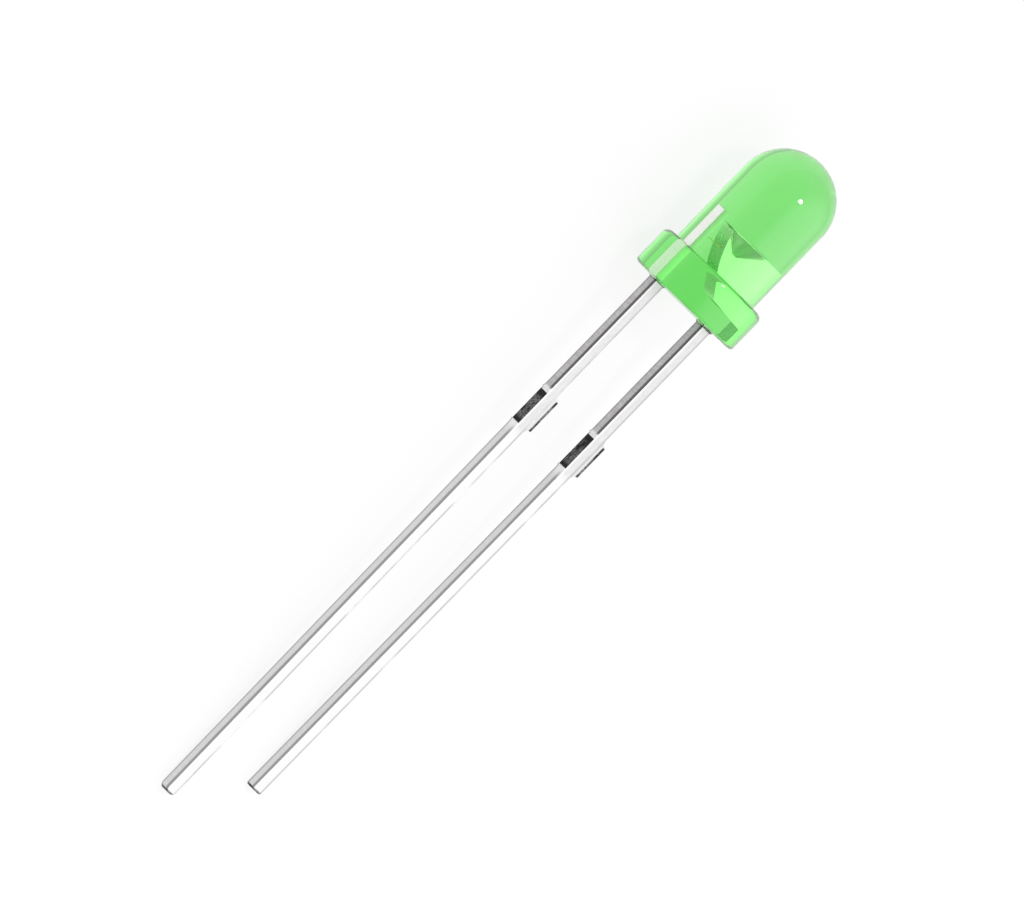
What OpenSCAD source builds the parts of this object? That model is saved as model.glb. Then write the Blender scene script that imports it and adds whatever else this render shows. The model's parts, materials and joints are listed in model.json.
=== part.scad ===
// A 3 mm light-emitting diode for through-hole mounting.
// Two stamped leads are cast into one clear tinted epoxy lens. The cathode lead
// ends in an anvil with a reflector cup, which holds the chip. The anode lead ends
// in a post, and a gold wire joins its top to the chip.
//
// Each module is drawn upright: the lens axis is Z, the underside of the flange is
// z = 0, the anode is at -X, the cathode at +X, and the face of the lead sheet that
// ends up on top looks along -Y. lying() then lays the piece down as it comes to
// rest, on the rim of the flange and the two lead tips.

/* [Lens] */
// Diameter of the straight body
body_d = 3.0; // [2.9:0.05:3.4]
// Diameter of the flange
flange_d = 3.75; // [3.6:0.05:4.2]
// Height of the flange
flange_h = 1.3; // [1.05:0.05:1.5]
// Height of the lens, from the underside of the flange to the top of the dome
lens_h = 5.6; // [5:0.05:6.5]
// Radius on the lower edge of the flange
flange_edge = 0.1; // [0.05:0.01:0.25]
// Radius on the upper edge of the flange
flange_shoulder = 0.2; // [0.05:0.01:0.3]
// Distance from the lens axis to the flat that marks the cathode
flat_reach = 1.65; // [1.6:0.05:1.8]
// How far the epoxy creeps down each lead below the flange
meniscus_h = 0.06; // [0.02:0.01:0.2]

/* [Leads] */
// Distance between the middles of the two leads at the flange
lead_pitch = 2.54; // [2.3:0.01:2.6]
// Width of each lead across the sheet
lead_w = 0.38; // [0.3:0.01:0.45]
// Thickness of the sheet that the leads are stamped from
sheet_t = 0.36; // [0.3:0.01:0.45]
// How far the middle of the sheet lies behind the lens axis
sheet_back = 0.11; // [0:0.01:0.15]
// Length of the anode lead below the flange
anode_len = 20.05; // [8:0.05:30]
// Length of the cathode lead below the flange
cathode_len = 18.35; // [7:0.05:28]
// How far each tip leans towards the other lead, from the tie bar down
toe_in = 0.08; // [0:0.01:0.2]
// Radius on the two corners of the anode's tip
anode_tip_r = 0.17; // [0.02:0.01:0.2]
// Radius on the two corners of the cathode's tip
cathode_tip_r = 0.09; // [0.02:0.01:0.2]

/* [Tie bar stubs] */
// Distance from the flange down to the trimmed tie bar
bar_drop = 4.45; // [3:0.05:6]
// Height of the tie bar
bar_h = 1.15; // [0.6:0.05:1.6]
// Length of bar left on the cathode side of each lead
bar_stub = 0.2; // [0.05:0.01:0.4]
// How far the spurs stand out at the ends of the sheared side
bar_spur = 0.05; // [0.02:0.01:0.12]
// Radius of the fillets where the bar met the lead
bar_fillet = 0.18; // [0.1:0.01:0.4]

/* [Anode post] */
// Height of the post's top above the underside of the flange
post_top = 2.75; // [2:0.05:3.2]
// Width of the post inside the body
post_w = 0.38; // [0.25:0.01:0.42]
// Epoxy left outside the corner of the post and the anvil
skin = 0.02; // [0.01:0.01:0.08]

/* [Anvil and cup] */
// Height of the rim of the reflector cup
rim_z = 2.55; // [2.2:0.05:3]
// Height of the anvil's shoulder at its outer edge
shoulder_z = 2.66; // [2.3:0.02:3.2]
// Height of the anvil's foot, where it meets the lead
foot_z = 0.6; // [0.3:0.05:1]
// How far the anvil's foot stays from the lens axis
heel_x = 0.38; // [0.3:0.01:0.6]
// Where the anvil's inner edge starts to swell: distance from the axis
waist_x = 0; // [-0.1:0.01:0.3]
// Where the anvil's inner edge starts to swell: height
waist_z = 1.3; // [1:0.05:1.4]
// How far the anvil reaches past the lens axis at the rim
anvil_reach = 0.47; // [0.3:0.01:0.52]
// Distance from the lens axis at which the anvil's shoulder starts to rise
shoulder_x = 0.85; // [0.7:0.01:1.2]
// Outer radius of the cup at its rim
cup_r = 0.55; // [0.45:0.01:0.65]
// Outer radius of the cup at its bottom
cup_foot_r = 0.1; // [0.1:0.01:0.3]
// Height of the outside of the cup
cup_h = 0.56; // [0.45:0.01:0.8]
// Inner radius of the cup at its rim
bowl_r = 0.46; // [0.35:0.01:0.55]
// Inner radius of the cup's floor
floor_r = 0.22; // [0.18:0.01:0.3]
// Depth of the cup
bowl_h = 0.3; // [0.2:0.01:0.4]

/* [Chip and wire] */
// Side of the square chip
chip_w = 0.25; // [0.15:0.01:0.3]
// Height of the chip
chip_h = 0.12; // [0.08:0.01:0.2]
// Thickness of the silver epoxy under the chip
attach_t = 0.02; // [0.01:0.01:0.05]
// Diameter of the bond wire
wire_d = 0.025; // [0.02:0.005:0.04]
// Radius of the loop that the wire makes over the chip
wire_bend = 0.55; // [0.45:0.01:0.6]
// Diameter of the ball that welds the wire to the chip
ball_d = 0.09; // [0.06:0.01:0.12]
// Diameter of the flattened stitch that welds the wire to the post
stitch_d = 0.08; // [0.06:0.01:0.15]

/* [Hidden] */
$fn = 96;

body_r = body_d / 2;
flange_r = flange_d / 2;
dome_z = lens_h - body_r;
front_y = sheet_back - sheet_t / 2;
back_y = sheet_back + sheet_t / 2;
lead_outer = (lead_pitch + lead_w) / 2;
lead_inner = (lead_pitch - lead_w) / 2;

// Inside the body the sheet's outer edge keeps its far corner within the skin.
inner_reach = sqrt(pow(body_r - skin, 2) - pow(back_y, 2));
jog_top = flange_h - 0.15;
jog_foot = jog_top - 0.3;

bowl_z = rim_z - bowl_h;
chip_z = bowl_z + attach_t;
chip_top = chip_z + chip_h;
ball_h = ball_d / 2;

// The wire bends up and over from the ball, then runs straight to the post's top.
post_x = inner_reach - post_w / 2;
wire_z = chip_top + ball_h / 2;
wire_across = norm([post_x, sheet_back]) - wire_bend;
wire_down = wire_z - post_top - wire_d / 2;
wire_slope = atan2(wire_down, wire_across) + asin(wire_bend / norm([wire_across, wire_down]));
wire_run = sqrt(pow(wire_across, 2) + pow(wire_down, 2) - pow(wire_bend, 2));

// Points of an arc about [x, z], from angle a to angle b.
function arc(x, z, r, a, b, steps = 8) =
    [for (i = [0 : steps]) let (t = a + (b - a) * i / steps) [x + r * cos(t), z + r * sin(t)]];

// Points of a smooth bow from p to q that heads for h on the way.
function bow(p, h, q, steps = 8) =
    [for (i = [0 : steps]) let (t = i / steps) p * pow(1 - t, 2) + h * 2 * t * (1 - t) + q * t * t];

// Angle round a bar fillet at which it stands out from the lead by reach.
function fillet_angle(reach) = acos(max(0, 1 - reach / bar_fillet));

// Edge of a lead on the cathode side below the flange, from the top down: the tie bar
// is cut off beside it and leaves a stub with its fillets.
function stub_edge(x) =
    let (a = fillet_angle(bar_stub),
         top = arc(x + bar_fillet, bar_fillet - bar_drop, bar_fillet, 180, 180 + a),
         foot = arc(x + bar_fillet, -bar_fillet - bar_drop - bar_h, bar_fillet, 180 - a, 180))
    concat(top, [[x + bar_stub, top[8][1]], [x + bar_stub, foot[0][1]]], foot);

// Edge of a lead on the other side, from the bottom up: the bar is sheared off flush,
// and what is left of its fillets stands out as a spur at each end.
function sheared_edge(x) =
    let (a = fillet_angle(bar_spur),
         foot = arc(x - bar_fillet, -bar_fillet - bar_drop - bar_h, bar_fillet, 0, a),
         top = arc(x - bar_fillet, bar_fillet - bar_drop, bar_fillet, -a, 0))
    concat(foot, [[x, foot[8][1]], [x, top[0][1]]], top);

// Gives an outline in the plane of the sheet the sheet's thickness and place. The
// outline starts inside the lens at the lead's anode side, goes over the top to its
// cathode side, down to the tip and back up.
module stamping(side, length, tip_r, inside) {
    tip = side * (lead_pitch / 2 - toe_in);
    right = side * lead_pitch / 2 + lead_w / 2;
    left = side * lead_pitch / 2 - lead_w / 2;
    translate([0, back_y, 0]) rotate([90, 0, 0]) linear_extrude(sheet_t) polygon(concat(
        inside,
        stub_edge(right),
        arc(tip + lead_w / 2 - tip_r, tip_r - length, tip_r, 0, -90),
        arc(tip - lead_w / 2 + tip_r, tip_r - length, tip_r, -90, -180),
        sheared_edge(left)));
}

module anode_metal() {
    stamping(-1, anode_len, anode_tip_r, [
        [-lead_outer, jog_foot],
        [-inner_reach, jog_top],
        [-inner_reach, post_top],
        [post_w - inner_reach, post_top],
        [post_w - inner_reach, jog_top],
        [-lead_inner, jog_foot]]);
}

module cathode_metal() {
    difference() {
        union() {
            stamping(1, cathode_len, cathode_tip_r, concat(
                [[lead_inner, foot_z], [heel_x, foot_z + 0.1]],
                bow([waist_x, waist_z], [-anvil_reach * 0.7, waist_z + 0.55], [-anvil_reach, rim_z - 0.15]),
                [[-anvil_reach, rim_z], [shoulder_x, rim_z], [inner_reach, shoulder_z],
                 [inner_reach, jog_top], [lead_outer, jog_foot]]));
            translate([0, 0, rim_z - cup_h]) cylinder(h = cup_h, r1 = cup_foot_r, r2 = cup_r);
        }
        translate([0, 0, bowl_z]) cylinder(h = bowl_h, r1 = floor_r, r2 = bowl_r);
    }
}

module chip_solid() {
    translate([-chip_w / 2, -chip_w / 2, chip_z]) cube([chip_w, chip_w, chip_h]);
}

module attach_solid() {
    translate([0, 0, bowl_z]) cylinder(h = attach_t, r = chip_w * 0.75);
}

module wire_solid() {
    translate([0, 0, chip_top]) cylinder(h = ball_h, d = ball_d);
    rotate([0, 0, 180 - atan2(sheet_back, post_x)]) translate([wire_bend, 0, wire_z])
        rotate([90, 0, 0]) rotate([0, 0, 90 - wire_slope]) {
            rotate_extrude(angle = 90 + wire_slope) translate([wire_bend, 0]) circle(d = wire_d);
            translate([wire_bend, 0, 0]) rotate([90, 0, 0]) cylinder(h = wire_run, d = wire_d);
        }
    translate([-post_x, sheet_back, post_top]) cylinder(h = wire_d * 0.6, d = stitch_d);
}

// The flange: a disc with both edges rounded and the flat that marks the cathode.
module flange() {
    difference() {
        union() {
            cylinder(h = flange_h, r = flange_r - flange_shoulder);
            cylinder(h = flange_h - flange_shoulder, r = flange_r - flange_edge);
            translate([0, 0, flange_edge])
                cylinder(h = flange_h - flange_edge - flange_shoulder, r = flange_r);
            for (edge = [[flange_edge, flange_edge], [flange_h - flange_shoulder, flange_shoulder]]) {
                translate([0, 0, edge[0]]) rotate_extrude()
                    translate([flange_r - edge[1], 0]) circle(edge[1]);
            }
        }
        translate([flat_reach, -flange_r, -1]) cube([flange_r, flange_d, flange_h + 2]);
    }
}

module lens_solid() {
    flange();
    cylinder(h = dome_z, r = body_r);
    translate([0, 0, dome_z]) sphere(body_r);
    for (side = [-1, 1]) {
        translate([side * lead_pitch / 2, sheet_back, -meniscus_h])
            cylinder(h = meniscus_h, r1 = lead_w * 0.72, r2 = lead_w * 0.88);
    }
}

// How the part comes to rest: pitched down from the flange to the tips, and rolled
// about the lens axis because one lead is longer. Each pass improves on the last.
function settle(pitch, roll, passes) =
    passes == 0 ? [pitch, roll] :
    let (anode_x = toe_in - lead_pitch / 2 + lead_w / 2 - anode_tip_r,
         cathode_x = lead_pitch / 2 - toe_in + lead_w / 2 - cathode_tip_r,
         graze = norm([sin(pitch), sin(roll) * cos(pitch)]),
         longer = sin(pitch) * (anode_len - anode_tip_r - cathode_len + cathode_tip_r)
             + (anode_tip_r - cathode_tip_r) * graze,
         next_roll = asin(longer / cos(pitch) / (cathode_x - anode_x)),
         drop = cos(pitch) * (flange_r - flange_edge - sin(next_roll) * cathode_x - cos(next_roll) * back_y)
             + flange_edge - cathode_tip_r * graze,
         next_pitch = asin(drop / (cathode_len - cathode_tip_r + flange_edge)))
    settle(next_pitch, next_roll, passes - 1);

rest = settle(5, 4, 8);
pitch = rest[0];
roll = rest[1];
rest_z = cos(pitch) * (flange_r - flange_edge) - sin(pitch) * flange_edge + flange_edge;
tip_x = cos(pitch) * (anode_len - anode_tip_r)
    + anode_tip_r * norm([cos(pitch), sin(pitch) * sin(roll)])
    + sin(pitch) * (sin(roll) * (lead_pitch / 2 - toe_in + lead_w / 2 - anode_tip_r) - cos(roll) * front_y);
dome_x = -cos(pitch) * dome_z - body_r;
flat_y = cos(roll) * flat_reach + sin(roll) * sqrt(pow(flange_r, 2) - pow(flat_reach, 2));

module lying() {
    translate([-(tip_x + dome_x) / 2, (flange_r - flat_y) / 2, rest_z])
        rotate([0, pitch, 0]) rotate([-90, 0, 0]) rotate([0, -90, 0]) rotate([0, 0, roll])
            children();
}

module epoxy_lens() {
    color([0.4, 0.85, 0.35, 0.5]) lying() difference() {
        lens_solid();
        anode_metal();
        cathode_metal();
        chip_solid();
        attach_solid();
        wire_solid();
    }
}

module anode_lead() {
    color([0.8, 0.8, 0.8]) lying() anode_metal();
}

module cathode_lead() {
    color([0.8, 0.8, 0.8]) lying() cathode_metal();
}

module led_chip() {
    color([0.8, 0.75, 0.4]) lying() chip_solid();
}

module die_attach() {
    color([0.6, 0.6, 0.6]) lying() attach_solid();
}

module bond_wire() {
    color([0.9, 0.7, 0.3]) lying() wire_solid();
}

epoxy_lens();
anode_lead();
cathode_lead();
led_chip();
die_attach();
bond_wire();
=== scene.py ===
"""A 3 mm light-emitting diode, lying on a table as it comes to rest."""
import json
import math

import bmesh
import bpy
from mathutils import Matrix, Vector


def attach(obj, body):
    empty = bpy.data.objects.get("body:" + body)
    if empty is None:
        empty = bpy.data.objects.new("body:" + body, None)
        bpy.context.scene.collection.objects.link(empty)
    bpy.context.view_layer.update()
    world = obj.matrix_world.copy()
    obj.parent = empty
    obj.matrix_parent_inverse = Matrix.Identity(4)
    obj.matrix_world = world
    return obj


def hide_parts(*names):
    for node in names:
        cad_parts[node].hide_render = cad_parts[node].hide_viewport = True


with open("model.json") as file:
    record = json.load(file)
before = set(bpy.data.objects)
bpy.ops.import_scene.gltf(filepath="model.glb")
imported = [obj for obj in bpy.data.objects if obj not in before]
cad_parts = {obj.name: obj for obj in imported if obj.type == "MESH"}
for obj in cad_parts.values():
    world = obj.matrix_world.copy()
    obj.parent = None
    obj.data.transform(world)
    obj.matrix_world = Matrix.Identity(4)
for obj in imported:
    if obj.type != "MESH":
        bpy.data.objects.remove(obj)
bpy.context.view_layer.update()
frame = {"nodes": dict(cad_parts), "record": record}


# --- Camera -------------------------------------------------------------------------
# A long lens looks down on the diode from beside the anode lead, with the dome towards
# the top right and the tips towards the bottom left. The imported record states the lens
# axis, the middle of the flange's underside and the side that the cathode is on.

MM = 0.001
IMAGE_W = 1024
IMAGE_H = 921
VIEW_SCALE = 35.3
SEAT_AT = (683.05, 305.05)
AXIS_TILT = 45.9
SPUN = 43.0
DISTANCE = 450 * MM

mounts = {m["name"]: m for m in frame["record"]["mounts"]}
axis = Vector(mounts["body"]["axis"]).normalized()
seat = Vector(mounts["seat"]["pos_m"])
across = Vector(mounts["cathode_leg"]["pos_m"]) - Vector(mounts["anode_leg"]["pos_m"])
across = (across - across.dot(axis) * axis).normalized()
top_side = across.cross(axis)

spun = math.radians(SPUN)
tilt = math.radians(AXIS_TILT)
to_viewer = math.cos(spun) * top_side - math.sin(spun) * across
beside = math.cos(spun) * across + math.sin(spun) * top_side
right = math.cos(tilt) * axis + math.sin(tilt) * beside
up = math.sin(tilt) * axis - math.cos(tilt) * beside
aim = (seat + right * (IMAGE_W / 2 - SEAT_AT[0]) * MM / VIEW_SCALE
       + up * (SEAT_AT[1] - IMAGE_H / 2) * MM / VIEW_SCALE)
pose = Matrix((right, up, to_viewer)).transposed().to_4x4()
pose.translation = aim + to_viewer * DISTANCE

camera_data = bpy.data.cameras.new("camera")
camera = bpy.data.objects.new("camera", camera_data)
bpy.context.scene.collection.objects.link(camera)
bpy.context.scene.camera = camera
camera.matrix_world = pose
camera_data.sensor_width = 36
camera_data.lens = 36 * DISTANCE / (IMAGE_W * MM / VIEW_SCALE)
camera_data.clip_start = 0.01
camera_data.clip_end = 10


# --- Lens ---------------------------------------------------------------------------
# Clear epoxy with green dye, cast in a cup mould round the leads: a half-round dome, a
# straight body, and a flange with the flat that marks the cathode. The mould is
# polished, so the skin is glossy, and the resin creeps down each lead a little.

BODY_R = 1.5
LENS_H = 5.6
DOME_Z = LENS_H - BODY_R
FLANGE_R = 1.875
FLANGE_H = 1.3
FLANGE_FOOT = 0.1
FLANGE_SHOULDER = 0.2
FLAT_REACH = 1.65
LEAD_PITCH = 2.54
LEAD_W = 0.38
SHEET_T = 0.36
SHEET_BACK = 0.11
MENISCUS_R = (0.28, 0.335)
MENISCUS_H = 0.08
MENISCUS_Z = -0.02
DYE = (0.10, 0.87, 0.0, 1)
DYE_PER_M = 570

# Pieces are modelled upright in millimetres, with the lens axis up and the cathode at
# +X, and are then laid down by this one move.
LAY_DOWN = Matrix((across, -top_side, axis)).transposed().to_4x4()
LAY_DOWN.translation = seat
LAY_DOWN = LAY_DOWN @ Matrix.Scale(MM, 4)
STAND_UP = LAY_DOWN.inverted()


def select_only(obj):
    bpy.ops.object.select_all(action="DESELECT")
    bpy.context.view_layer.objects.active = obj
    obj.select_set(True)


def lay_down(obj):
    """Moves a finished upright piece to its place and leaves its object at the origin."""
    select_only(obj)
    obj.matrix_world = LAY_DOWN @ obj.matrix_world
    bpy.ops.object.transform_apply(location=True, rotation=True, scale=True)


def apply_modifier(obj, kind, **settings):
    select_only(obj)
    modifier = obj.modifiers.new(kind.title(), kind)
    for name, value in settings.items():
        setattr(modifier, name, value)
    bpy.ops.object.modifier_apply(modifier=modifier.name)


def combine(obj, tool, operation):
    """Adds a tool's shape to a piece or cuts it away, and removes the tool."""
    apply_modifier(obj, "BOOLEAN", operation=operation, object=tool, solver="EXACT")
    bpy.data.objects.remove(tool)


def open_mesh(obj):
    """Opens a piece for edge and face work, with nothing selected."""
    select_only(obj)
    bpy.ops.object.mode_set(mode="EDIT")
    bpy.ops.mesh.select_mode(type="EDGE")
    bpy.ops.mesh.select_all(action="DESELECT")


def close_mesh(obj, angle):
    bpy.ops.mesh.select_all(action="SELECT")
    bpy.ops.mesh.normals_make_consistent(inside=False)
    bpy.ops.object.mode_set(mode="OBJECT")
    bpy.ops.object.shade_smooth_by_angle(angle=math.radians(angle))


def pick_rings(obj, *rings):
    """Selects the rings of edges round the lens axis, each given by height and radius."""
    def on_ring(spot, z, radius):
        return abs(spot.z - z) < 1e-4 and abs(math.hypot(spot.x, spot.y) - radius) < 1e-3

    mesh = bmesh.from_edit_mesh(obj.data)
    for edge in mesh.edges:
        edge.select_set(any(all(on_ring(v.co, *ring) for v in edge.verts) for ring in rings))
    bmesh.update_edit_mesh(obj.data)


bpy.ops.object.select_all(action="DESELECT")
bpy.ops.mesh.primitive_uv_sphere_add(
    segments=256, ring_count=128, radius=BODY_R, location=(0, 0, DOME_Z))
lens = bpy.context.object
lens.name = "lens"
bpy.ops.object.transform_apply()
open_mesh(lens)
bpy.ops.mesh.select_all(action="SELECT")
bpy.ops.mesh.bisect(plane_co=(0, 0, DOME_Z), plane_no=(0, 0, 1), clear_inner=True)
pick_rings(lens, (DOME_Z, BODY_R))
bpy.ops.mesh.extrude_region_move(TRANSFORM_OT_translate={"value": (0, 0, FLANGE_H - DOME_Z)})
bpy.ops.mesh.extrude_region_move()
wide = FLANGE_R / BODY_R
bpy.ops.transform.resize(value=(wide, wide, 1), center_override=(0, 0, 0))
bpy.ops.mesh.extrude_region_move(TRANSFORM_OT_translate={"value": (0, 0, -FLANGE_H)})
bpy.ops.mesh.edge_face_add()
pick_rings(lens, (0, FLANGE_R))
bpy.ops.mesh.bevel(offset=FLANGE_FOOT, segments=8, affect="EDGES", profile=0.5)
pick_rings(lens, (FLANGE_H, FLANGE_R))
bpy.ops.mesh.bevel(offset=FLANGE_SHOULDER, segments=12, affect="EDGES", profile=0.5)
close_mesh(lens, 40)

bpy.ops.object.select_all(action="DESELECT")
bpy.ops.mesh.primitive_cube_add(size=FLANGE_R * 2, location=(FLAT_REACH + FLANGE_R, 0, 0))
combine(lens, bpy.context.object, "DIFFERENCE")
for side in (-1, 1):
    bpy.ops.object.select_all(action="DESELECT")
    bpy.ops.mesh.primitive_cone_add(
        vertices=64, radius1=MENISCUS_R[0], radius2=MENISCUS_R[1], depth=MENISCUS_H,
        location=(side * LEAD_PITCH / 2, SHEET_BACK, MENISCUS_Z))
    combine(lens, bpy.context.object, "UNION")
select_only(lens)
bpy.ops.object.shade_smooth_by_angle(angle=math.radians(40))
lay_down(lens)


class Field:
    """A shader socket that does arithmetic, or the bare node tree of a material."""

    def __init__(self, tree, socket=None):
        self.tree = tree
        self.socket = socket

    def node(self, kind, settings=None, sockets=None, output=0):
        """Adds a node, sets it up, and feeds its sockets with values or other fields."""
        made = self.tree.nodes.new(kind)
        for name, value in (settings or {}).items():
            setattr(made, name, value)
        for name, value in (sockets or {}).items():
            if isinstance(value, Field):
                self.tree.links.new(value.socket, made.inputs[name])
            else:
                made.inputs[name].default_value = value
        return Field(self.tree, made.outputs[output])

    def work(self, operation, *values):
        """The result of a Math node on fields or numbers."""
        return self.node("ShaderNodeMath", {"operation": operation}, dict(enumerate(values)))

    def __add__(self, other):
        return self.work("ADD", self, other)

    def __radd__(self, other):
        return self.work("ADD", other, self)

    def __sub__(self, other):
        return self.work("SUBTRACT", self, other)

    def __rsub__(self, other):
        return self.work("SUBTRACT", other, self)

    def __mul__(self, other):
        return self.work("MULTIPLY", self, other)

    def __rmul__(self, other):
        return self.work("MULTIPLY", other, self)

    def __abs__(self):
        return self.work("ABSOLUTE", self)

    def over(self, low, high):
        """Nought below low, one above high, and smooth between."""
        return self.node("ShaderNodeMapRange", {"interpolation_type": "SMOOTHSTEP"},
                         {"Value": self, "From Min": low, "From Max": high})

    def place(self):
        """The upright place of a point, in millimetres from the middle of the seat."""
        spot = self.node("ShaderNodeTexCoord", output=3)
        return self.node("ShaderNodeMapping", {}, {
            "Vector": spot, "Location": STAND_UP.translation,
            "Rotation": STAND_UP.to_quaternion().to_euler(), "Scale": STAND_UP.to_scale()})

    def split(self, vector):
        apart = self.node("ShaderNodeSeparateXYZ", {}, {"Vector": vector})
        outputs = apart.socket.node.outputs
        return [Field(self.tree, outputs[i]) for i in range(3)]

    def facing(self, direction):
        """How squarely the surface faces a direction, from -1 to 1."""
        normal = self.node("ShaderNodeNewGeometry", output=1)
        return self.node("ShaderNodeVectorMath", {"operation": "DOT_PRODUCT"},
                         {0: normal, 1: direction}, output=1)

    def noise(self, place, scale, stretch=(1, 1, 1), detail=2.0):
        """Noise whose grains are about 1 / scale millimetres across."""
        stretched = self.node(
            "ShaderNodeVectorMath", {"operation": "MULTIPLY"}, {0: place, 1: stretch})
        return self.node(
            "ShaderNodeTexNoise", {}, {"Vector": stretched, "Scale": scale, "Detail": detail})

    def mix(self, amount, first, second):
        """A colour between two colours."""
        return self.node(
            "ShaderNodeMix", {"data_type": "RGBA"}, {0: amount, 6: first, 7: second}, output=2)


def new_material(name):
    material = bpy.data.materials.new(name)
    material.use_nodes = True
    return material, Field(material.node_tree), material.node_tree.nodes["Principled BSDF"]


def feed(shader, **sockets):
    """Sets a shader's sockets, whose names are given with underscores."""
    for name, value in sockets.items():
        socket = shader.inputs[name.replace("_", " ")]
        if isinstance(value, Field):
            value.tree.links.new(value.socket, socket)
        else:
            socket.default_value = value


def dress(obj, material):
    obj.data.materials.clear()
    obj.data.materials.append(material)


# The skin has the mould's faint ripple. The underside sets in the open air and is pitted.
resin, field, shader = new_material("green_epoxy")
place = field.place()
x, y, z = field.split(place)
ripple = field.noise(place, 1.4, detail=1.0)
pits = field.noise(place, 14.0, detail=2.0)
under = 1 - z.over(-0.01, 0.03)
relief = ripple * 0.6 + pits * (0.02 + 0.25 * under)
skin = field.node("ShaderNodeBump", {}, {"Strength": 0.12, "Distance": 0.02 * MM, "Height": relief})
feed(shader, Base_Color=(1, 1, 1, 1), Roughness=0.015 + 0.2 * under, IOR=1.54,
     Transmission_Weight=1.0, Normal=skin)
depth = field.tree.nodes.new("ShaderNodeVolumeAbsorption")
depth.inputs["Color"].default_value = DYE
depth.inputs["Density"].default_value = DYE_PER_M
field.tree.links.new(depth.outputs["Volume"], field.tree.nodes["Material Output"].inputs["Volume"])
dress(lens, resin)
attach(lens, "root")
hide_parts("epoxy_lens")


# --- Leads --------------------------------------------------------------------------
# Stamped from plated steel sheet: square legs, and inside the lens a post on one and an
# anvil with a coined reflector cup on the other. The punch leaves a shiny band and a dull
# zone on the sides, and the cuts at the tie bars and the tips are bare.

BAR_TOP = -4.45
BAR_FOOT = -5.6
STUB = 0.2
ANODE_TIP = -20.05
CATHODE_TIP = -18.35
RIM_Z = 2.55
CUP_H = 0.56
CUP_R = 0.55
CUP_FOOT_R = 0.1
BOWL_R = 0.46
FLOOR_R = 0.22
BOWL_H = 0.3
RIM_PROUD = 0.001
RIM_ROUND = 0.035
EDGE_ROUND = 0.03
FRONT = SHEET_BACK - SHEET_T / 2
BACK = FRONT + SHEET_T
TOE_IN = 0.08
TOE_IN_RUN = 13.6

tin, field, shader = new_material("tin_plate")
place = field.place()
x, y, z = field.split(place)
grain = field.noise(place, 22.0, stretch=(1, 1, 0.35), detail=3.0)
cloud = field.noise(place, 2.2, stretch=(1, 1, 0.4), detail=2.0)
streak = field.noise(place, 30.0, stretch=(1, 0.12, 1), detail=2.0)
torn = field.noise(place, 15.0, detail=4.0)
blotch = field.noise(place, 4.0, stretch=(1, 1, 0.6), detail=2.0)

# Inside the lens the sheet keeps its bright silver plate, and outside it is tinned.
# Up to the tie bars the tin has painted shade from the flange, and the cup's drawn wall is dull.
inside = z.over(-0.01, 0.02)
out_of_flange_shade = 1 - z.over(BAR_FOOT - 0.4, BAR_FOOT)
cup_wall = (inside * (1 - y.over(FRONT - 0.03, FRONT - 0.01))
            * (1 - z.over(RIM_Z - 0.05, RIM_Z - 0.03)))
side_face = abs(field.facing(across)).over(0.35, 0.75)
# Next to the tie bars the sides get a painted highlight, and the dark band stops there.
bar_highlight_zone = (z.over(BAR_FOOT - 0.5, BAR_FOOT - 0.1)
              * (1 - z.over(BAR_TOP + 0.08, BAR_TOP + 0.2)))
# The burnished band along the sides near the front face is glossier, and its dark colour is a
# painted reflection.
burnish_and_dark_reflection = ((1 - inside) * side_face * (1 - bar_highlight_zone)
        * (1 - (y + 0.03 * cloud).over(FRONT + 0.10, FRONT + 0.15)))
# The sides are darker along their back edge.
dark_back_edge = side_face * y.over(BACK - 0.08, BACK - 0.03)
# The legs lean in below the bars, so the place across a leg is taken from its middle.
cathode_side = x.over(0, 0.1)
past_anode = x.over(-0.8, -0.7)
lean = field.work("MAXIMUM", BAR_FOOT - z, 0) * (TOE_IN / TOE_IN_RUN)
across_leg = x - (cathode_side * 2 - 1) * (LEAD_PITCH / 2 - lean)
on_flat = (1 - inside) * (1 - side_face)
# The flats get patchy painted shade along their edge towards the cathode, and a painted highlight
# along the other edge.
painted_edge_shade = (on_flat * across_leg.over(0.10, 0.14) * (1 - across_leg.over(0.2, 0.22))
        * cloud.over(0.25, 0.5))
painted_edge_highlight = on_flat * (1 - across_leg.over(-0.14, -0.10))
in_bar = (z.over(BAR_FOOT - 0.06, BAR_FOOT - 0.03)
          * (1 - z.over(BAR_TOP - 0.04, BAR_TOP - 0.01)))
cathode_stub = LEAD_PITCH / 2 + LEAD_W / 2 + STUB
anode_stub = cathode_stub - LEAD_PITCH
stub_end = (x.over(anode_stub - 0.11, anode_stub - 0.08) * (1 - past_anode)
            + x.over(cathode_stub - 0.11, cathode_stub - 0.08))
tip_end = (cathode_side * (1 - z.over(CATHODE_TIP + 0.05, CATHODE_TIP + 0.08))
           + (1 - cathode_side) * (1 - z.over(ANODE_TIP + 0.05, ANODE_TIP + 0.08)))
bare = field.work("MINIMUM", in_bar * (side_face + stub_end) + tip_end, 1.0)

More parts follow.
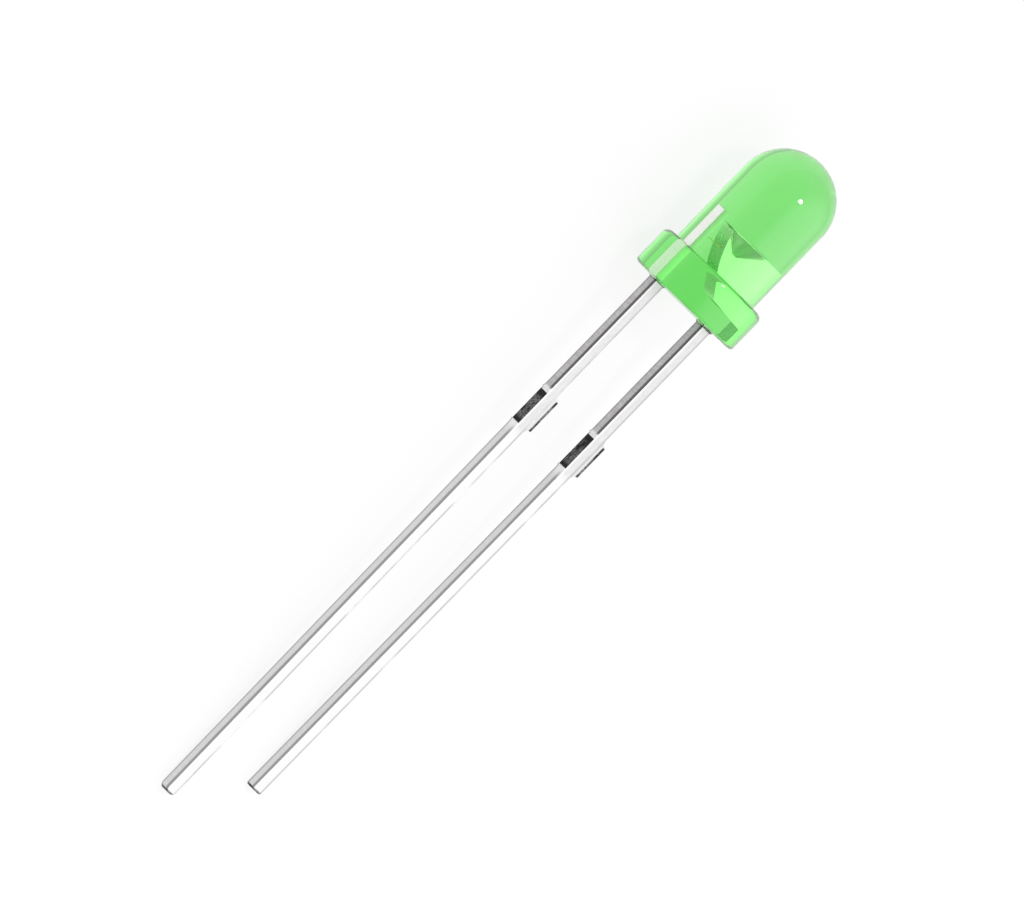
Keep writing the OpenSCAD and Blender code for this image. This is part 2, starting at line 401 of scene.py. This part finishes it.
# The finishes are plate, broken metal, the burnished band with its painted dark reflection, and
# torn steel.
plate = field.mix(grain.over(0.35, 0.65), (0.47, 0.47, 0.47, 1), (0.52, 0.52, 0.52, 1))
plate = field.mix(out_of_flange_shade, plate, (0.58, 0.58, 0.58, 1))
plate = field.mix(cloud.over(0.45, 0.8) * 0.5, plate, (0.56, 0.56, 0.56, 1))
broken = field.mix(streak.over(0.3, 0.7), (0.46, 0.45, 0.46, 1), (0.60, 0.59, 0.60, 1))
broken = field.mix(out_of_flange_shade * 0.7, broken, (0.80, 0.79, 0.80, 1))
broken = field.mix(bar_highlight_zone * 0.8, broken, (0.95, 0.95, 0.95, 1))
broken = field.mix(dark_back_edge * 0.6, broken, (0.28, 0.27, 0.28, 1))
burnished_painted_reflection = field.mix(out_of_flange_shade, (0.14, 0.13, 0.13, 1), (0.34, 0.33, 0.33, 1))
torn_metal = field.mix(torn.over(0.35, 0.65), (0.09, 0.09, 0.09, 1), (0.26, 0.25, 0.25, 1))
# The torn steel is darkest at both ends of a bar.
bar_middle = (z.over(BAR_FOOT + 0.02, BAR_FOOT + 0.2)
              * (1 - z.over(BAR_TOP - 0.34, BAR_TOP - 0.16)))
darkest = field.work("MAXIMUM", blotch.over(0.5, 0.62), in_bar * (1 - bar_middle))
torn_metal = field.mix(darkest * 0.9, torn_metal, (0.02, 0.02, 0.02, 1))
surface = field.mix(side_face, plate, broken)
surface = field.mix(painted_edge_shade * 0.8, surface, (0.34, 0.34, 0.34, 1))
surface = field.mix(painted_edge_highlight, surface, (0.60, 0.60, 0.60, 1))
surface = field.mix(inside, surface, (0.97, 0.96, 0.94, 1))
surface = field.mix(cup_wall, surface, (0.98, 0.97, 0.94, 1))
surface = field.mix(burnish_and_dark_reflection, surface, burnished_painted_reflection)
surface = field.mix(bare, surface, torn_metal)
rough = (0.3 + 0.12 * grain + 0.1 * side_face - 0.2 * inside + 0.35 * cup_wall
         - 0.1 * burnish_and_dark_reflection + 0.2 * bare)
relief = (grain * 0.4 + streak * side_face * 0.3) * (1 - 0.9 * inside) + torn * bare * 2.5
# The punch rolls the anvil's edge over, which turns its shine towards the flat.
anvil_edge = inside * past_anode * field.facing(-across).over(0.35, 0.75)
rolled = field.node("ShaderNodeBump", {}, {
    "Strength": 1.0, "Distance": MM, "Height": y * anvil_edge})
uneven = field.node("ShaderNodeBump", {}, {
    "Strength": 0.25, "Distance": 0.01 * MM, "Height": relief, "Normal": rolled})
feed(shader, Base_Color=surface, Metallic=1.0, Roughness=rough, Normal=uneven)

# The cup is drawn out of the anvil as a cone, and the bowl is pressed into its end.
for name in ("anode_lead", "cathode_lead"):
    lead = bpy.data.objects.new(
        name.replace("_lead", "_metal"), frame["nodes"][name].data.copy())
    bpy.context.scene.collection.objects.link(lead)
    lead.data.transform(STAND_UP)
    open_mesh(lead)
    bpy.ops.mesh.select_all(action="SELECT")
    bpy.ops.mesh.remove_doubles(threshold=1e-4)
    bpy.ops.mesh.dissolve_limited(angle_limit=math.radians(1))
    bpy.ops.object.mode_set(mode="OBJECT")
    if name == "cathode_lead":
        bpy.ops.object.select_all(action="DESELECT")
        bpy.ops.mesh.primitive_cone_add(
            vertices=128, radius1=CUP_FOOT_R, radius2=CUP_R + RIM_PROUD, depth=CUP_H,
            location=(0, 0, RIM_Z - CUP_H / 2))
        combine(lead, bpy.context.object, "UNION")
        bpy.ops.object.select_all(action="DESELECT")
        bpy.ops.mesh.primitive_cone_add(
            vertices=128, radius1=FLOOR_R, radius2=BOWL_R * 2 - FLOOR_R, depth=BOWL_H * 2,
            location=(0, 0, RIM_Z))
        combine(lead, bpy.context.object, "DIFFERENCE")
        open_mesh(lead)
        pick_rings(lead, (RIM_Z, BOWL_R), (RIM_Z, CUP_R + RIM_PROUD))
        bpy.ops.mesh.bevel(offset=RIM_ROUND, segments=4, affect="EDGES", profile=0.5)
        bpy.ops.object.mode_set(mode="OBJECT")
    apply_modifier(lead, "BEVEL", width=EDGE_ROUND, segments=3,
                   angle_limit=math.radians(50), use_clamp_overlap=True)
    bpy.ops.object.shade_smooth_by_angle(angle=math.radians(35))
    apply_modifier(lead, "WEIGHTED_NORMAL", keep_sharp=True, weight=80)
    lay_down(lead)
    dress(lead, tin)
    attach(lead, "root")
    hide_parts(name)


# --- Chip ---------------------------------------------------------------------------
# A sawn block of amber gallium phosphide, 0.25 mm square. Its sides are rough from the
# saw, its top is polished, and a round gold contact in the middle takes the wire.

CHIP_W = 0.25
CHIP_H = 0.12
ATTACH_T = 0.02
BOWL_Z = RIM_Z - BOWL_H
CHIP_TOP = BOWL_Z + ATTACH_T + CHIP_H
CHIP_ROUND = 0.006
CONTACT_R = 0.054

bpy.ops.object.select_all(action="DESELECT")
bpy.ops.mesh.primitive_cube_add(
    size=1, location=(0, 0, CHIP_TOP - CHIP_H / 2), scale=(CHIP_W, CHIP_W, CHIP_H))
chip = bpy.context.object
chip.name = "chip"
bpy.ops.object.transform_apply()
open_mesh(chip)
bpy.ops.mesh.select_all(action="SELECT")
bpy.ops.mesh.bevel(offset=CHIP_ROUND, segments=3, affect="EDGES", profile=0.5)
close_mesh(chip, 40)
apply_modifier(chip, "WEIGHTED_NORMAL", keep_sharp=True)
lay_down(chip)

crystal, field, shader = new_material("gallium_phosphide")
place = field.place()
x, y, z = field.split(place)
flat_place = field.node("ShaderNodeCombineXYZ", {}, {"X": x, "Y": y})
reach = field.node(
    "ShaderNodeVectorMath", {"operation": "LENGTH"}, {0: flat_place}, output=1)
on_top = z.over(CHIP_TOP - 0.004, CHIP_TOP - 0.002)
contact = on_top * (1 - reach.over(CONTACT_R - 0.002, CONTACT_R + 0.002))
layer = z.over(CHIP_TOP - 0.03, CHIP_TOP - 0.026)
sawn = field.noise(place, 90.0, stretch=(1, 1, 0.2))
stone = field.mix(layer, (0.62, 0.42, 0.10, 1), (0.72, 0.62, 0.18, 1))
stone = field.mix(sawn.over(0.3, 0.7) * (1 - on_top), stone, (0.50, 0.34, 0.08, 1))
stone = field.mix(contact, stone, (0.95, 0.74, 0.36, 1))
scored = field.node("ShaderNodeBump", {}, {
    "Strength": 0.4, "Distance": 0.002 * MM, "Height": sawn * (1 - on_top)})
feed(shader, Base_Color=stone, Metallic=contact, Roughness=0.45 - 0.3 * on_top, Normal=scored)
dress(chip, crystal)
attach(chip, "root")
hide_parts("led_chip")


# --- Silver epoxy -------------------------------------------------------------------
# The drop of silver-filled glue that holds the chip to the floor of the cup. The chip
# presses it out to a round pad, and it creeps a little way up the sides of the chip.

ATTACH_R = CHIP_W * 0.75
ATTACH_ROUND = 0.008
# Each step of the creep is a rise, and how much narrower the drop is above it.
CREEP = ((0.012, 0.86), (0.006, 0.8))

bpy.ops.object.select_all(action="DESELECT")
bpy.ops.mesh.primitive_cylinder_add(
    vertices=64, radius=ATTACH_R, depth=ATTACH_T, location=(0, 0, BOWL_Z + ATTACH_T / 2))
glue = bpy.context.object
glue.name = "silver_epoxy"
bpy.ops.object.transform_apply()
open_mesh(glue)
pick_rings(glue, (BOWL_Z + ATTACH_T, ATTACH_R))
for rise, narrowing in CREEP:
    bpy.ops.mesh.extrude_region_move(TRANSFORM_OT_translate={"value": (0, 0, rise)})
    bpy.ops.transform.resize(value=(narrowing, narrowing, 1), center_override=(0, 0, 0))
pick_rings(glue, (BOWL_Z + ATTACH_T, ATTACH_R))
bpy.ops.mesh.bevel(offset=ATTACH_ROUND, segments=4, affect="EDGES", profile=0.5)
close_mesh(glue, 60)
lay_down(glue)

silver, field, shader = new_material("silver_epoxy")
place = field.place()
flakes = field.node("ShaderNodeTexVoronoi", {}, {"Vector": place, "Scale": 70.0}, output=0)
bright = field.mix(flakes.over(0.1, 0.6), (0.88, 0.87, 0.84, 1), (0.52, 0.51, 0.49, 1))
grit = field.node("ShaderNodeBump", {}, {"Strength": 0.4, "Distance": 0.003 * MM, "Height": flakes})
feed(shader, Base_Color=bright, Metallic=0.8, Roughness=0.35 + 0.3 * flakes, Normal=grit)
dress(glue, silver)
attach(glue, "root")
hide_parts("die_attach")


# --- Bond wire ----------------------------------------------------------------------
# Gold wire of 0.025 mm. It is welded to the chip by a ball, bends up and over, and
# runs straight to the top of the post, where the tool pressed it flat to a stitch.

WIRE_R = 0.0125
WIRE_BEND = 0.55
BALL_R = 0.045
POST_TOP = 2.75
POST_W = 0.38
STITCH_R = 0.04
SKIN = 0.02
BALL_Z = CHIP_TOP + 0.02
BALL_SHAPE = (1, 1, 0.6)
STITCH_SHAPE = (1.3, 1, 0.4)
post_x = math.sqrt((BODY_R - SKIN) ** 2 - BACK ** 2) - POST_W / 2
post_reach = math.hypot(post_x, SHEET_BACK)
wire_z = CHIP_TOP + BALL_R / 2
reach_over = post_reach - WIRE_BEND
reach_down = wire_z - POST_TOP - WIRE_R
slope = (math.atan2(reach_down, reach_over)
         + math.asin(WIRE_BEND / math.hypot(reach_over, reach_down)))
run = math.sqrt(reach_over ** 2 + reach_down ** 2 - WIRE_BEND ** 2)

bpy.ops.object.select_all(action="DESELECT")
bpy.ops.mesh.primitive_circle_add(vertices=16, radius=WIRE_R, location=(0, 0, wire_z))
wire = bpy.context.object
wire.name = "gold_wire"
bpy.ops.object.transform_apply()
open_mesh(wire)
bpy.ops.mesh.select_all(action="SELECT")
bpy.ops.mesh.spin(
    steps=40, angle=math.pi / 2 + slope, center=(WIRE_BEND, 0, wire_z), axis=(0, 1, 0))
bpy.ops.mesh.extrude_region_move(TRANSFORM_OT_translate={
    "value": (run * math.cos(slope), 0, -run * math.sin(slope))})
bpy.ops.mesh.edge_face_add()
mesh = bmesh.from_edit_mesh(wire.data)
for edge in mesh.edges:
    edge.select_set(edge.is_boundary)
bmesh.update_edit_mesh(wire.data)
bpy.ops.mesh.edge_face_add()
close_mesh(wire, 50)

bpy.ops.object.select_all(action="DESELECT")
bpy.ops.mesh.primitive_uv_sphere_add(
    segments=32, ring_count=16, radius=BALL_R, location=(0, 0, BALL_Z), scale=BALL_SHAPE)
combine(wire, bpy.context.object, "UNION")
bpy.ops.object.select_all(action="DESELECT")
bpy.ops.mesh.primitive_uv_sphere_add(
    segments=32, ring_count=16, radius=STITCH_R, location=(post_reach, 0, POST_TOP),
    scale=STITCH_SHAPE)
combine(wire, bpy.context.object, "UNION")
wire.rotation_euler.z = math.pi - math.atan2(SHEET_BACK, post_x)
select_only(wire)
bpy.ops.object.transform_apply()
bpy.ops.object.shade_smooth_by_angle(angle=math.radians(50))
lay_down(wire)

gold, field, shader = new_material("gold")
place = field.place()
drawn = field.noise(place, 60.0, stretch=(1, 1, 0.2))
warm = field.mix(drawn.over(0.3, 0.7), (0.98, 0.72, 0.30, 1), (0.92, 0.64, 0.24, 1))
feed(shader, Base_Color=warm, Metallic=1.0, Roughness=0.2 + 0.1 * drawn)
dress(wire, gold)
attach(wire, "root")
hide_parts("bond_wire")


# --- Table and lights ---------------------------------------------------------------
# A wide white table under the diode. Its paint is matt, and a glow in it lifts what the
# camera, the metal and the resin see of it nearly to white, so that only a trace of the
# diode's shadow is left.

TABLE_GLOW = 0.85
ROOM_LIGHT = 0.72
WINDOW_LIGHT = 1.1
KEY_SIZE = 0.07
KEY_POWER = 0.35
KEY_DISTANCE = 0.4

bpy.ops.object.select_all(action="DESELECT")
bpy.ops.mesh.primitive_plane_add(size=4)
table = bpy.context.object
table.name = "table"
white, field, shader = new_material("white_table")
feed(shader, Base_Color=(0.78, 0.78, 0.78, 1), Roughness=0.8)
glow = field.node("ShaderNodeEmission", {}, {"Color": (1, 1, 1, 1), "Strength": 1.0})
ray = field.node("ShaderNodeLightPath")
outputs = ray.socket.node.outputs
camera_ray, glossy_ray, clear_ray = [Field(field.tree, outputs[name]) for name in (
    "Is Camera Ray", "Is Glossy Ray", "Is Transmission Ray")]
seen = field.work("MAXIMUM", camera_ray, field.work("MAXIMUM", glossy_ray, clear_ray))
mixed = field.node("ShaderNodeMixShader", {}, {
    0: seen * TABLE_GLOW, 1: Field(field.tree, shader.outputs[0]), 2: glow})
field.tree.links.new(mixed.socket, field.tree.nodes["Material Output"].inputs["Surface"])
dress(table, white)

# The room is evenly white, and brighter over the side of the cathode.
world = bpy.data.worlds.new("studio")
bpy.context.scene.world = world
world.use_nodes = True
room = world.node_tree.nodes["Background"]
field = Field(world.node_tree)
window = (0.9 * top_side + 0.45 * across).normalized()
look = field.node("ShaderNodeTexCoord", output=0)
squarely = field.node(
    "ShaderNodeVectorMath", {"operation": "DOT_PRODUCT"}, {0: look, 1: window}, output=1)
feed(room, Color=(1, 1, 1, 1), Strength=ROOM_LIGHT + WINDOW_LIGHT * squarely.over(0.5, 0.95))

# A small round lamp makes the glint on the dome, and doesn't shine through the resin.
key = bpy.data.lights.new("key", "AREA")
key.shape = "DISK"
key.size = KEY_SIZE
key.energy = KEY_POWER
lamp = bpy.data.objects.new("key", key)
lamp.visible_transmission = False
bpy.context.scene.collection.objects.link(lamp)
toward = (0.598 * right - 0.025 * up + 0.801 * to_viewer).normalized()
lamp.location = seat + toward * KEY_DISTANCE
lamp.rotation_euler = toward.to_track_quat("Z", "Y").to_euler()

bpy.context.scene.view_settings.view_transform = "Standard"
